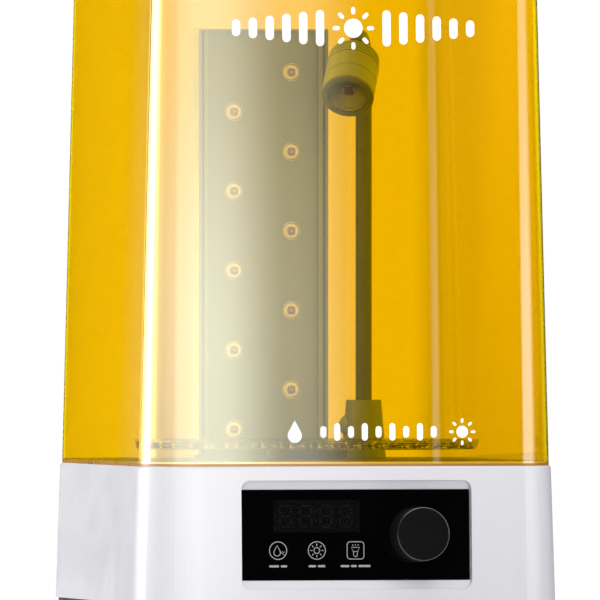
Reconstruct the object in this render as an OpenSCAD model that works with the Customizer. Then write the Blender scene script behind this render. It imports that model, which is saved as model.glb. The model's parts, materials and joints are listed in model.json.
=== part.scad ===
// Desktop resin curing station: an ultraviolet lamp column and a gooseneck lamp under an amber hood,
// with a driven turntable, on a base that holds the controls, the motor and the electronics.
// Millimetres, +Z up. Every module below is drawn about the middle of the base; place() then moves it
// so that the origin is the middle of the whole footprint, knob included, on the surface it stands on.

/* [Base] */
// Width of the base where the white shell meets the plinth
base_w = 222; // [216:1:230]
// Depth of the base where the white shell meets the plinth
base_d = 234; // [228:1:242]
// Corner radius of the base in plan
corner_r = 30; // [26:1:34]
// Height of the white shell
shell_h = 70; // [68:1:76]
// Draft of the shell's walls in degrees
shell_draft = 1.9; // [1:0.1:2.5]
// Wall thickness of the shell
shell_wall = 2.5; // [2:0.1:3]
// Height of the dark plinth, feet left out
plinth_h = 7; // [6:0.5:9]
// Height of the rubber feet
foot_h = 3; // [2:0.5:4]

/* [Hood] */
// Height of the amber hood
hood_h = 325; // [300:5:340]
// Draft of the hood's walls in degrees
hood_draft = 1.45; // [1:0.05:1.6]
// Wall thickness of the hood
hood_wall = 2; // [1.6:0.1:2.4]
// Radius of the hood's top edge
hood_top_r = 14; // [8:1:20]

/* [Turntable] */
// Radius of the turntable at its top face
table_r = 88.5; // [80:0.5:90]
// Thickness of the turntable
table_t = 4; // [3.5:0.5:5]
// How far the turntable's axis lies in front of the base's middle
table_y = 9; // [7:1:10]

/* [Control panel] */
// Width of the black panel
panel_w = 120; // [116:0.2:124]
// Height of the black panel
panel_h = 46.2; // [44:0.2:48]
// Depth of the panel's face behind the front wall
panel_sink = 3; // [2.5:0.1:3.5]
// Radius of the selector knob
knob_r = 14; // [12:0.5:15]
// How far the knob stands out of the panel's face
knob_out = 16; // [12:0.5:18]

/* [Lamp column] */
// Width of the column
column_w = 69.2; // [66:0.2:72]
// Depth of the column
column_d = 13.2; // [12.8:0.2:14]
// Height of the column above the deck
column_h = 224; // [215:1:225]
// Spacing of the diodes in one row
led_pitch = 41.5; // [38:0.5:42]
// Distance between the two rows of diodes
led_rows = 30.8; // [26:0.2:34]

/* [Gooseneck lamp] */
// Radius of the gooseneck
neck_r = 4.25; // [4:0.05:4.5]
// Bend radius of the hook at the top of the gooseneck
hook_r = 14; // [13:0.5:16]
// Angle of the lamp below the horizon in degrees
lamp_down = 40.8; // [30:0.2:50]
// Heading of the lamp, in degrees from straight ahead towards the left
lamp_heading = 22.5; // [10:0.5:30]
// Radius of the lamp's head
lamp_r = 13.65; // [12:0.05:14]

/* [Hidden] */
$fn = 96;
hull_fn = 64;      // circles inside a hull
sliver = 0.01;     // thickness of the plates that a hull is stretched over
lap = 0.3;         // how far lengths of the gooseneck run into each other
fit = 0.15;        // clearance round a piece that drops into a recess
running = 0.05;    // radial clearance of a shaft in its bore
snug = 0.02;       // radial clearance of a piece pressed on a shaft

shell_z = foot_h + plinth_h;
ledge_z = shell_z + shell_h;
shell_slope = tan(shell_draft);
hood_slope = tan(hood_draft);
top_w = base_w - 2 * shell_h * shell_slope;
top_d = base_d - 2 * shell_h * shell_slope;
roof_t = 3;                               // thickness of the shell's top
hood_step = 1;                            // ledge left bare outside the hood
hood_w = top_w - 2 * hood_step;
hood_d = top_d - 2 * hood_step;
hood_r = corner_r - 3;
deck_gap = 0.75;                          // between the deck's edge and the inside of the hood
deck_t = 2.4;
deck_z = ledge_z + deck_t;

axis_y = -table_y;                        // the turntable's axis
table_z = deck_z + 5.6;                   // underside of the turntable
hub_r = 21;
hub_z = deck_z + 0.6;
shaft_r = 3;
rotor_r = 34;
leg_ring = 46;                            // radius on which the motor bracket's legs stand
bracket_z = 56;
motor_h = 34;

panel_z = shell_z + 35.1;                  // height of the panel's middle
panel_t = 2;
lip_step = 0.8;                           // depth of the step round the panel's hollow
lip_r = 4.5;
knob_x = 31.8;
window_size = [45.4, 16.4];
window_at = [-20.4, 9.6];
icon_x = [-40.7, -20.4, -0.1];
icon_y = -7.9;
board_front = -12;                        // front face of the control board, behind the wall
board_t = 1.6;
encoder_travel = 0.6;
column_y = 88;                            // front edges of the column
plate_t = 1.6;
plate_sink = 3;                           // face of the diode plate behind the column's front edges
plate_w = 58.6;
left_led_z = deck_z + 14.8;
right_led_z = left_led_z + led_pitch / 2;
lens_r = 5.2;

arm_x = 52.2;
arm_y = 82;
socket_h = 30.2;
clamp_z = deck_z + 16.8;
ferrule_r = 6;
ball_r = 3.4;
socket_r = 3.7;
bend_gap = 2;                             // shoulder left free under each bending joint
bend_z = [136, 186, 236];                 // heights of the gooseneck's three bending joints
hook_z = 288;                             // where the hook starts
tilt_ball_r = 3.6;
tilt_out = 4;                             // tilt joint's distance past the end of the hook
tilt_gap = 2.6;
neck_len = 6.1;                           // from the tilt joint to the back of the lamp
heatsink_len = 11.4;
housing_len = 20.3;
bezel_len = 1.5;

// ---- frames and shared shapes ----

function front_y(z) = -(base_d / 2 - (z - shell_z) * shell_slope);
knob_front = knob_out - panel_sink;       // height of the knob's face over the front wall
knob_edge = 0.7;                          // bevel round the knob's face
knob_reach = knob_front * cos(shell_draft) + (knob_r - knob_edge) * sin(shell_draft) - front_y(panel_z);
place_y = (knob_reach - base_d / 2) / 2;

// Moves a module from the middle of the base to the middle of the whole footprint.
module place() translate([0, place_y, 0]) children();

// Local x to the right, y up the front wall, z out of it, from the middle of the panel.
module at_front() translate([0, front_y(panel_z), panel_z]) rotate([90 - shell_draft, 0, 0]) children();

// Local x to the left as seen from the front, y up the rear wall, z out of it, from the floor of the rear recess.
module at_rear(x) translate([x, -front_y(rear_z), rear_z]) rotate([90 - shell_draft, 0, 180])
    translate([0, 0, -rear_sink]) children();

module at_axis() translate([0, axis_y, 0]) children();

// Local x points the way the lamp is headed, from the axis of the gooseneck.
module at_arm() translate([arm_x, arm_y, 0]) rotate([0, 0, -90 - lamp_heading]) children();

// Local z runs along the lamp, from the tilt joint towards its window.
module at_lamp() at_arm()
    translate([hook_r * (1 + sin(lamp_down)), 0, hook_z + hook_r * cos(lamp_down)])
    rotate([0, 90 + lamp_down, 0]) translate([0, 0, tilt_out]) children();

module rounded_rect(w, d, r) {
    square([w - 2 * r, d], center = true);
    square([w, d - 2 * r], center = true);
    for (x = [-1, 1], y = [-1, 1]) translate([x * (w / 2 - r), y * (d / 2 - r)]) circle(r);
}

module slab(w, d, r, h) linear_extrude(h) rounded_rect(w, d, r);

// A block with rounded corners whose four sides lean in by slope.
module draft_block(w, d, r, h, slope) hull() {
    slab(w, d, r, sliver, $fn = hull_fn);
    translate([0, 0, h - sliver]) slab(w - 2 * h * slope, d - 2 * h * slope, r - h * slope, sliver, $fn = hull_fn);
}

module ring(r_out, r_in, h) difference() {
    cylinder(r = r_out, h = h);
    translate([0, 0, -1]) cylinder(r = r_in, h = h + 2);
}

module box(size, z = 0) translate([-size[0] / 2, -size[1] / 2, z]) cube(size);

function on_circle(n, r, first = 0) = [for (i = [0:n - 1]) [r * cos(first + 360 * i / n), r * sin(first + 360 * i / n), 0]];

foot_spots = [for (x = [-1, 1], y = [-1, 1]) [x * (base_w / 2 - 24), y * (base_d / 2 - 24), 0]];
boss_spots = [for (x = [-1, 1], y = [-1, 1]) [x * (base_w / 2 - 12), y * (base_d / 2 - 45), 0]];
deck_screw_spots = on_circle(4, 72, 45);
leg_spots = on_circle(4, leg_ring, 45);
standoff_spots = [for (x = [-1, 1], y = [-1, 1]) [x * 40, 75 + y * 20, 0]];

// ---- base ----

boss_r = 4.5;
screw_r = 1.45;
pilot_r = 1.5;

module base_shell() color([0.93, 0.93, 0.95]) difference() {
    union() {
        difference() {
            translate([0, 0, shell_z]) hull() {
                slab(base_w, base_d, corner_r, sliver, $fn = hull_fn);
                translate([0, 0, shell_h - 1]) slab(top_w, top_d, corner_r - 2.3, sliver, $fn = hull_fn);
                translate([0, 0, shell_h - sliver]) slab(top_w - 1.6, top_d - 1.6, corner_r - 3, sliver, $fn = hull_fn);
            }
            translate([0, 0, shell_z - sliver]) draft_block(base_w - 2 * shell_wall, base_d - 2 * shell_wall,
                corner_r - shell_wall, shell_h - roof_t, shell_slope);
        }
        at_front() box([panel_w + 8, panel_h + 14, 6.2], -7.2);
        at_rear(rear_x) box([rear_size[0] + 5, rear_size[1] + 5, rear_sink + 1.5], -2.5);
        for (p = boss_spots) translate(p + [0, 0, shell_z]) cylinder(r = boss_r, h = shell_h - 1);
    }
    at_front() panel_pocket();
    at_axis() translate([0, 0, ledge_z - roof_t - 1]) cylinder(r = rotor_r + 4, h = roof_t + 2);
    for (p = boss_spots) translate(p + [0, 0, shell_z - 1]) cylinder(r = pilot_r, h = 15);
    at_axis() for (p = deck_screw_spots) translate(p + [0, 0, ledge_z - roof_t - 1]) cylinder(r = pilot_r, h = roof_t + 2);
    translate([arm_x, arm_y, ledge_z - roof_t - 1]) cylinder(r = 3, h = roof_t + 2);
    at_rear(rear_x) slab(rear_size[0], rear_size[1], 4, rear_sink + 2);
    at_rear(jack_x) translate([0, 0, -6]) cylinder(r = jack_r + fit, h = 8);
    at_rear(rocker_x) box([rocker_hole[0] + 2 * fit, rocker_hole[1] + 2 * fit, 8], -6);
}

// The hollow in the front wall: a small step, sloping lips, the panel's seat, and windows through to the board.
module panel_pocket() {
    hull() {
        translate([0, 0, -panel_sink]) slab(panel_w + 0.6, panel_h + 0.6, 1.2, sliver, $fn = hull_fn);
        translate([0, 0, -lip_step]) slab(panel_w + 0.8, panel_h + 9, lip_r, sliver, $fn = hull_fn);
    }
    translate([0, 0, -lip_step]) slab(panel_w + 0.8, panel_h + 9, lip_r, lip_step + 1, $fn = hull_fn);
    box([panel_w + 2 * fit, panel_h + 2 * fit, panel_t + 0.2 + sliver], -panel_sink - panel_t - 0.2);
    translate(window_at) box([window_size[0] + 1, window_size[1] + 1, 20], -18);
    for (x = icon_x) translate([x, icon_y, -18]) cylinder(r = 4, h = 20);
    translate([knob_x, 0, -18]) cylinder(r = knob_r + 2, h = 20);
}

module base_plate() color([0.16, 0.16, 0.17]) difference() {
    union() {
        translate([0, 0, foot_h]) slab(base_w - 3, base_d - 3, corner_r - 1.5, 3);
        difference() {
            translate([0, 0, foot_h]) slab(base_w - 3, base_d - 3, corner_r - 1.5, plinth_h);
            translate([0, 0, foot_h - 1]) slab(base_w - 11, base_d - 11, corner_r - 5.5, plinth_h + 2);
        }
        difference() {
            translate([0, 0, shell_z]) slab(base_w - 6.2, base_d - 6.2, corner_r - 3.1, 3);
            translate([0, 0, shell_z - 1]) slab(base_w - 11, base_d - 11, corner_r - 5.5, 5);
        }
        for (p = boss_spots) translate(p + [0, 0, foot_h]) cylinder(r = boss_r + 1, h = plinth_h - 0.1);
    }
    for (p = boss_spots) translate(p + [0, 0, foot_h - 1]) {
        cylinder(r = screw_r + 0.25, h = 12);
        cylinder(r = 3.3, h = 3.6);
    }
    for (p = foot_spots) translate(p + [0, 0, foot_h - 1]) cylinder(r = 7, h = 2.2);
    for (i = [-5:5], y = [-50, 30]) translate([i * 9, y, foot_h - 1]) linear_extrude(5) rounded_rect(3, 34, 1.4);
}

module rubber_feet() color([0.09, 0.09, 0.09]) for (p = foot_spots) translate(p) {
    cylinder(r1 = 8.4, r2 = 9, h = 1);
    translate([0, 0, 1]) cylinder(r = 9, h = foot_h - 1);
    translate([0, 0, foot_h]) cylinder(r = 6.9, h = 1.1);
}

module countersunk_screw(head_r, head_h, shank, len) difference() {
    union() {
        cylinder(r = head_r, h = head_h);
        translate([0, 0, head_h]) cylinder(r = shank, h = len);
    }
    for (a = [0, 90]) rotate([0, 0, a]) box([head_r * 1.1, 0.8, 1.2], -0.2);
}

module base_screws() color([0.55, 0.55, 0.57]) for (p = boss_spots)
    translate(p + [0, 0, foot_h + 0.4]) countersunk_screw(3, 2.1, screw_r, 16);

module deck_plate() color([0.28, 0.28, 0.28]) difference() {
    translate([0, 0, ledge_z]) slab(hood_w - 2 * (hood_wall + deck_gap), hood_d - 2 * (hood_wall + deck_gap),
        hood_r - hood_wall - deck_gap, deck_t);
    at_axis() translate([0, 0, ledge_z - 1]) cylinder(r = bush_r + snug, h = deck_t + 2);
    at_axis() for (p = deck_screw_spots) translate(p + [0, 0, ledge_z - 1]) {
        cylinder(r = screw_r + 0.25, h = deck_t + 2);
        translate([0, 0, deck_t - 1.6]) cylinder(r = 2.9, h = 3);
    }
    translate([arm_x, arm_y, ledge_z - 1]) cylinder(r = 3, h = deck_t + 2);
}

module deck_screws() color([0.6, 0.6, 0.62]) at_axis() for (p = deck_screw_spots)
    translate(p + [0, 0, deck_z - 0.05]) mirror([0, 0, 1]) countersunk_screw(2.7, 1.5, screw_r, 6);

// ---- control panel ----

module panel_glass() color([0.02, 0.02, 0.02]) at_front() difference() {
    translate([0, 0, -panel_sink - panel_t]) slab(panel_w, panel_h, 1, panel_t);
    translate(window_at) box([window_size[0] + 0.1, window_size[1] + 0.1, 6], -8);
    translate([knob_x, 0, -8]) cylinder(r = knob_r + 1.2, h = 8);
}

module display_window() color([0.09, 0.09, 0.09, 0.6]) at_front()
    translate(window_at) box([window_size[0], window_size[1], 1.2], -panel_sink - 1.2);

digit_w = 6;
digit_h = 10.6;
digit_pitch = 10.6;

module segment(len) hull() for (s = [-1, 1]) translate([s * (len / 2 - 0.6), 0, 0]) cylinder(r = 0.55, h = 0.3, $fn = 12);

// Four seven-segment digits and the colon between the middle two, unlit.
module display_segments() color([0.2, 0.2, 0.2]) at_front()
    translate([window_at[0], window_at[1], -panel_sink - 1.6]) {
        for (i = [-1.5:1.5]) translate([i * digit_pitch, 0, 0]) {
            for (row = [-1:1]) translate([0, row * digit_h / 2, 0]) bar(digit_w - 1.6);
            for (side = [-1, 1], row = [-1, 1]) translate([side * digit_w / 2, row * digit_h / 4, 0])
                rotate([0, 0, 90]) bar(digit_h / 2 - 1.6);
        }
        for (row = [-1, 1]) translate([0, row * 2.2, 0]) cylinder(r = 0.6, h = 0.3);
    }

module bar(len) translate([-len / 2, -0.5, 0]) cube([len, 1, 0.3]);

module display_module() color([0.12, 0.12, 0.12]) at_front() translate(window_at)
    box([window_size[0] - 0.6, window_size[1] - 0.6, -board_front - panel_sink - 1.6], board_front);

module indicator_leds() color([0.85, 0.85, 0.8]) at_front() for (x = icon_x) translate([x, icon_y, board_front])
    cylinder(r = 2.4, h = -board_front - panel_sink - panel_t - 0.2);

module control_board() color([0.05, 0.28, 0.14]) at_front()
    translate([0, 0, board_front - board_t]) slab(112, 42, 2, board_t);

module encoder_body() color([0.45, 0.46, 0.48]) at_front() translate([knob_x, 0, 0]) difference() {
    union() {
        box([12.5, 13, 5.5], board_front);
        translate([0, 0, board_front]) cylinder(r = 4.6, h = 10);
    }
    translate([0, 0, -9.8]) cylinder(r = shaft_r + running, h = 12);
    translate([0, 0, -11.9]) cylinder(r = 1.5, h = 6);
}

module encoder_plunger() color([0.9, 0.9, 0.88]) at_front() translate([knob_x, 0, -11.2]) cylinder(r = 1.4, h = 2.15);

module encoder_shaft() color([0.75, 0.75, 0.76]) at_front() translate([knob_x, 0, -9]) cylinder(r = shaft_r, h = 18.9);

knob_back = -panel_sink - 1.4;

module selector_knob() color([0.07, 0.07, 0.07]) at_front() translate([knob_x, 0, 0]) difference() {
    union() {
        translate([0, 0, knob_back]) cylinder(r = knob_r, h = knob_front - knob_back - knob_edge);
        translate([0, 0, knob_front - knob_edge]) cylinder(r1 = knob_r, r2 = knob_r - knob_edge, h = knob_edge);
    }
    translate([0, 0, knob_back - 1]) ring(knob_r - 1.8, 5.2, knob_front - knob_back - 2);
    translate([0, 0, knob_back - 1]) cylinder(r = 5.3, h = 5.4);
    translate([0, 0, knob_back - 1]) cylinder(r = shaft_r + snug, h = 10 - knob_back + 1);
}

// ---- electronics and rear wall ----

rear_z = shell_z + 26;
rear_x = -44;                             // middle of the recess in the rear wall
rear_size = [62, 26];
rear_sink = 5;
jack_x = -60;
jack_r = 4.2;
rocker_x = -30;
rocker_hole = [19.2, 13];

module main_board() color([0.05, 0.3, 0.15]) difference() {
    translate([0, 75, shell_z + 4]) slab(92, 52, 3, board_t);
    for (p = standoff_spots) translate(p + [0, 0, shell_z]) cylinder(r = pilot_r, h = 20);
}

module board_standoffs() color([0.8, 0.68, 0.3]) for (p = standoff_spots) translate(p + [0, 0, foot_h + 3])
    cylinder(r = 2.8, h = plinth_h - 3 + 4, $fn = 6);

module board_components() color([0.1, 0.1, 0.12]) translate([0, 75, shell_z + 4 + board_t]) {
    for (i = [0:2]) translate([-34 + 12 * i, 12, 0]) cylinder(r = 4.5, h = 12);
    for (i = [0:3]) translate([2 + 10 * i, 16, 0]) box([8, 6, 7]);
    translate([6, -6, 0]) box([14, 14, 1.8]);
    translate([-22, -8, 0]) box([16, 14, 9]);
    for (i = [0:4]) translate([20 + 5 * i, -6, 0]) box([3.2, 6, 2.2]);
}

module led_driver() color([0.62, 0.63, 0.65]) translate([-72, 45, foot_h + 3]) {
    box([34, 46, 14]);
    for (i = [-3:3]) translate([i * 4.8, 0, 13.9]) box([1.4, 46, 8]);
}

module dc_jack() color([0.06, 0.06, 0.06]) at_rear(jack_x) difference() {
    union() {
        translate([0, 0, -8]) cylinder(r = jack_r, h = 7.9);
        box([14, 11, 10], -13);
    }
    translate([0, 0, -11]) ring(3.1, 1.05, 12);
}

module rocker_frame() color([0.05, 0.05, 0.05]) at_rear(rocker_x) difference() {
    union() {
        box([rocker_hole[0], rocker_hole[1], 13.1], -13);
        box([21, 15, 1.4], 0.05);
    }
    box([16, 10, 12], -10);
    for (s = [-1, 1]) translate([0, s * 5.8, -3.5]) rotate([90, 0, 0]) cylinder(r = 1.1 + running, h = 3, center = true);
}

// The rocker turns on two small trunnions in its frame, and rests with its off side pressed in.
module rocker_button() color([0.08, 0.08, 0.08]) at_rear(rocker_x) translate([0, 0, -3.5]) rotate([0, 9, 0]) {
    intersection() {
        box([15, 9.6, 12], -3);
        rotate([90, 0, 0]) cylinder(r = 8.4, h = 12, center = true);
        box([30, 30, 26.4], -20);
    }
    rotate([90, 0, 0]) cylinder(r = 1.1, h = 12.4, center = true);
}

// ---- drive ----

module drive_motor() color([0.55, 0.56, 0.58]) at_axis() translate([0, 0, bracket_z]) difference() {
    union() {
        translate([0, 0, -motor_h]) cylinder(r = 18.5, h = 22);
        translate([0, 0, -12]) cylinder(r = 17.5, h = 12);
        cylinder(r = 6, h = 2.4);
        translate([0, 0, -motor_h - 3]) cylinder(r = 4, h = 3.1);
    }
    translate([0, 0, -14]) cylinder(r = shaft_r + running, h = 20);
}

module motor_bracket() color([0.7, 0.71, 0.73]) at_axis() difference() {
    union() {
        translate([0, 0, bracket_z]) cylinder(r = 52, h = 2.5);
        for (p = leg_spots) translate(p + [0, 0, bracket_z]) cylinder(r = 3.6, h = ledge_z - roof_t - bracket_z - 0.1);
    }
    translate([0, 0, bracket_z - 1]) cylinder(r = 6 + snug, h = 5);
    for (p = leg_spots) translate(p + [0, 0, bracket_z - 1]) cylinder(r = pilot_r, h = 12);
    for (p = on_circle(6, 30)) translate(p + [0, 0, bracket_z - 1]) cylinder(r = 7, h = 5);
}

module motor_screws() color([0.6, 0.6, 0.62]) at_axis() for (p = leg_spots)
    translate(p + [0, 0, bracket_z - 1.7]) countersunk_screw(2.8, 1.6, screw_r, 8);

bush_r = 6;

module shaft_bush() color([0.72, 0.52, 0.25]) at_axis() translate([0, 0, ledge_z - 4]) difference() {
    union() {
        cylinder(r = bush_r, h = deck_t + 4);
        translate([0, 0, deck_t + 4]) cylinder(r = 9, h = 0.8);
    }
    translate([0, 0, -1]) cylinder(r = shaft_r + running, h = 10);
}

module drive_shaft() color([0.78, 0.78, 0.8]) at_axis() translate([0, 0, bracket_z - 13])
    cylinder(r = shaft_r, h = hub_z + dog_h + 0.8 - bracket_z + 13);

magnet_spots = on_circle(6, 24);

module magnet_rotor() color([0.18, 0.18, 0.2]) at_axis() translate([0, 0, bracket_z + 8]) difference() {
    union() {
        cylinder(r = rotor_r, h = 9);
        translate([0, 0, -4]) cylinder(r = 8, h = 5);
    }
    translate([0, 0, -5]) cylinder(r = shaft_r + snug, h = 20);
    for (p = magnet_spots) translate(p + [0, 0, 4]) cylinder(r = 5 + snug, h = 6);
}

module rotor_magnets() color([0.8, 0.8, 0.82]) at_axis() for (p = magnet_spots)
    translate(p + [0, 0, bracket_z + 12]) cylinder(r = 5, h = 4.6);

dog_count = 6;
dog_angle = 26;                           // angle that each of the drive hub's dogs takes up
dog_first = 7;                            // angle at which the first of them starts
dog_h = 1.6;
dog_in = 12;

// A pie slice of a ring, from angle 0 to a.
module slice(r_out, r_in, a, h) rotate_extrude(angle = a) translate([r_in, 0]) square([r_out - r_in, h]);

// A disc with dogs standing on its rim: the gaps between them start at angle first and take up gap degrees.
module dog_disc(h, first, gap) difference() {
    cylinder(r = hub_r, h = h);
    translate([0, 0, h - dog_h]) cylinder(r = dog_in, h = dog_h + 1);
    for (i = [0:dog_count - 1]) rotate([0, 0, first + i * 360 / dog_count])
        translate([0, 0, h - dog_h]) slice(hub_r + 1, dog_in - 1, gap, dog_h + 1);
}

module drive_hub() color([0.5, 0.5, 0.48]) at_axis() translate([0, 0, hub_z]) difference() {
    dog_disc(2 * dog_h, dog_first + dog_angle, 360 / dog_count - dog_angle);
    translate([0, 0, -1]) cylinder(r = 9.4, h = 1.5);
    translate([0, 0, -1]) cylinder(r = shaft_r + snug, h = 10);
}

// ---- turntable ----

rib_z = 0.9;                              // height of the raised rim and rings on the turntable
light_holes = [[14, 30], [22, 48], [30, 66]];

module turntable_disc() color([0.75, 0.72, 0.5, 0.75]) at_axis() translate([0, 0, table_z]) difference() {
    union() {
        cylinder(r1 = table_r - 1.4, r2 = table_r, h = table_t);
        translate([0, 0, table_t - 0.01]) ring(table_r, table_r - 2.2, rib_z);
        for (r = [39, 57, 76]) translate([0, 0, table_t - 0.01]) ring(r + 0.6, r - 0.6, rib_z * 0.7);
        for (i = [0:35]) rotate([0, 0, i * 10]) translate([76, -0.5, table_t - 0.01]) cube([table_r - 78, 1, rib_z * 0.7]);
    }
    for (row = light_holes) for (p = on_circle(row[0], row[1])) translate(p + [0, 0, -1]) cylinder(r = 4, h = table_t + 2);
    translate([0, 0, -0.01]) ring(table_r - 4, hub_r + 2, 1.2);
}

// The hub's dogs point down and drop into the gaps of the drive hub, with a degree to spare on each side.
module turntable_hub() color([0.5, 0.5, 0.48]) at_axis() translate([0, 0, table_z]) mirror([0, 0, 1])
    dog_disc(table_z - hub_z - dog_h - 0.1, dog_first - 1, dog_angle + 2);

// ---- lamp column ----

rib_in = plate_w / 2 + 0.3;

// Half of the extrusion's section, from its middle to +x: web, inner rib, groove, outer flange and rear fins.
module half_section() {
    translate([0, plate_sink + plate_t]) square([column_w / 2, 3.2]);
    translate([rib_in, 1.2]) square([2.2, 4.4]);
    translate([column_w / 2 - 1.4, 0]) square([1.4, column_d]);
    for (x = [6, 14, 22, 29]) translate([x, plate_sink + plate_t + 3]) square([1.4, column_d - plate_sink - plate_t - 3]);
}

module column_profile() color([0.62, 0.62, 0.64]) translate([0, column_y, deck_z + 1.6]) linear_extrude(column_h - 2.6) {
    half_section();
    mirror([1, 0]) half_section();
}

module led_plate() color([0.55, 0.55, 0.54])
    translate([-plate_w / 2, column_y + plate_sink, deck_z + 1.7]) cube([plate_w, plate_t - 0.02, column_h - 2.8]);

led_spots = [for (i = [0:4]) each [
    [-led_rows / 2, column_y + plate_sink, left_led_z + i * led_pitch],
    [led_rows / 2, column_y + plate_sink, right_led_z + i * led_pitch]
]];

module led_chips() color([0.8, 0.55, 0.3]) for (p = led_spots) translate(p) rotate([90, 0, 0]) box([3.6, 3.6, 1.2]);

module led_lenses() color([0.9, 0.9, 0.95, 0.4]) for (p = led_spots) translate(p) rotate([90, 0, 0]) difference() {
    union() {
        cylinder(r = lens_r, h = 1);
        intersection() {
            sphere(r = lens_r - 0.2);
            cylinder(r = lens_r, h = lens_r);
        }
    }
    intersection() {
        sphere(r = lens_r - 1.3);
        translate([0, 0, -1]) cylinder(r = lens_r, h = lens_r + 1);
    }
}

module column_cap() color([0.35, 0.35, 0.36]) translate([-column_w / 2, column_y, deck_z + column_h - 1])
    cube([column_w, column_d, 1]);

module column_foot() color([0.4, 0.4, 0.41]) difference() {
    translate([-column_w / 2 - 3, column_y - 3, deck_z]) cube([column_w + 6, column_d + 6, 1.6]);
    for (x = [-1, 1]) translate([x * (column_w / 2 + 0), column_y - 1.4, deck_z - 1]) cylinder(r = 0.9, h = 4);
}

module column_screws() color([0.6, 0.6, 0.62]) for (x = [-1, 1])
    translate([x * column_w / 2, column_y - 1.4, deck_z + 0.1]) {
        cylinder(r = 0.85, h = 1.5);
        translate([0, 0, 1.5]) cylinder(r = 1.35, h = 0.8);
    }

// ---- gooseneck lamp ----

module arm_socket() color([0.2, 0.2, 0.2]) translate([arm_x, arm_y, deck_z]) difference() {
    cylinder(r1 = 11.7, r2 = 9.2, h = socket_h);
    translate([0, 0, 2]) cylinder(r = ferrule_r + running, h = socket_h);
    translate([0, 0, clamp_z - deck_z]) rotate([0, -90, 0]) cylinder(r = 2 + running, h = 20);
    translate([0, 0, clamp_z - deck_z]) rotate([0, -90, 0]) translate([0, 0, 9.1]) cylinder(r = 5.6, h = 20);
}

dome_r = 6.2;                             // sphere that rounds the clamp screw's head
clamp_head_r = 5.2;

module clamp_screw() color([0.15, 0.15, 0.15]) translate([arm_x, arm_y, clamp_z]) rotate([0, -90, 0]) {
    translate([0, 0, ferrule_r + 0.1]) cylinder(r = 2, h = 4);
    difference() {
        intersection() {
            translate([0, 0, 9.3]) cylinder(r = clamp_head_r, h = 4);
            translate([0, 0, 13.2 - dome_r]) sphere(r = dome_r);
        }
        for (p = on_circle(12, clamp_head_r + 0.35)) translate(p + [0, 0, 9]) cylinder(r = 0.6, h = 5);
    }
}

module arm_ferrule() color([0.7, 0.7, 0.72]) translate([arm_x, arm_y, deck_z + 2.2]) difference() {
    cylinder(r = ferrule_r, h = socket_h - 2.7);
    translate([0, 0, 6]) cylinder(r = neck_r + snug, h = socket_h);
}

// A straight length of gooseneck, with a ball at its top and, where hollow is true, a socket at its foot.
module neck_link(z_low, z_high, hollow) translate([arm_x, arm_y, 0]) difference() {
    union() {
        translate([0, 0, z_low]) cylinder(r = neck_r, h = z_high - bend_gap - z_low);
        translate([0, 0, z_high]) sphere(r = ball_r);
    }
    if (hollow) translate([0, 0, z_low]) sphere(r = socket_r);
}

module gooseneck_lower() color([0.25, 0.25, 0.25]) neck_link(deck_z + 8.3, bend_z[0], false);

module gooseneck_middle() color([0.25, 0.25, 0.25]) neck_link(bend_z[0], bend_z[1], true);

module gooseneck_upper() color([0.25, 0.25, 0.25]) neck_link(bend_z[1], bend_z[2], true);

module gooseneck_hook() color([0.25, 0.25, 0.25]) {
    difference() {
        translate([arm_x, arm_y, bend_z[2]]) cylinder(r = neck_r, h = hook_z - bend_z[2] + lap);
        translate([arm_x, arm_y, bend_z[2]]) sphere(r = socket_r);
    }
    at_arm() translate([hook_r, 0, hook_z]) rotate([90, 0, 0]) rotate([0, 0, 90 - lamp_down])
        rotate_extrude(angle = 90 + lamp_down) translate([hook_r, 0]) circle(r = neck_r + sliver);
    at_lamp() {
        translate([0, 0, -tilt_out - lap]) cylinder(r = neck_r, h = tilt_out - tilt_gap + lap);
        sphere(r = tilt_ball_r);
    }
}

module lamp_neck() color([0.25, 0.25, 0.25]) at_lamp() difference() {
    cylinder(r = neck_r, h = neck_len);
    sphere(r = tilt_ball_r + 0.15);
}

module lamp_heatsink() color([0.22, 0.22, 0.22]) at_lamp() translate([0, 0, neck_len]) {
    cylinder(r1 = neck_r + 2, r2 = lamp_r - 2.2, h = 3);
    translate([0, 0, 3]) cylinder(r = lamp_r - 1.5, h = heatsink_len - 3);
    for (i = [0:3]) translate([0, 0, 3 + i * 2.1]) cylinder(r = lamp_r - 0.15 * (3 - i), h = 1.2);
}

module lamp_housing() color([0.24, 0.24, 0.24]) at_lamp() translate([0, 0, neck_len + heatsink_len]) difference() {
    cylinder(r = lamp_r, h = housing_len);
    translate([0, 0, 2]) cylinder(r = lamp_r - 1.6, h = housing_len);
    translate([0, 0, housing_len - 10]) ring(lamp_r + 1, lamp_r - 0.4, 0.5);
}

lamp_front = neck_len + heatsink_len + housing_len;

module lamp_bezel() color([0.18, 0.18, 0.18]) at_lamp() translate([0, 0, lamp_front]) difference() {
    union() {
        cylinder(r = lamp_r, h = bezel_len - 0.4);
        translate([0, 0, bezel_len - 0.4]) cylinder(r1 = lamp_r, r2 = lamp_r - 0.4, h = 0.4);
        translate([0, 0, -3]) cylinder(r = lamp_r - 1.7, h = 3.1);
    }
    translate([0, 0, -4]) cylinder(r = 10.6, h = 8);
}

// The window sits in the bezel, with the reflector's dish behind it.
module lamp_window() color([0.85, 0.85, 0.9, 0.35]) at_lamp() translate([0, 0, lamp_front - 1.2]) cylinder(r = 10.5, h = 1.4);

module lamp_reflector() color([0.8, 0.8, 0.8]) at_lamp() translate([0, 0, lamp_front - 4.4]) difference() {
    cylinder(r = 10.5, h = 3.1);
    translate([0, 0, 0.6]) cylinder(r1 = 3.4, r2 = 9.8, h = 2.6);
    translate([0, 0, -1]) cylinder(r = 3.4, h = 4);
}

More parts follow.
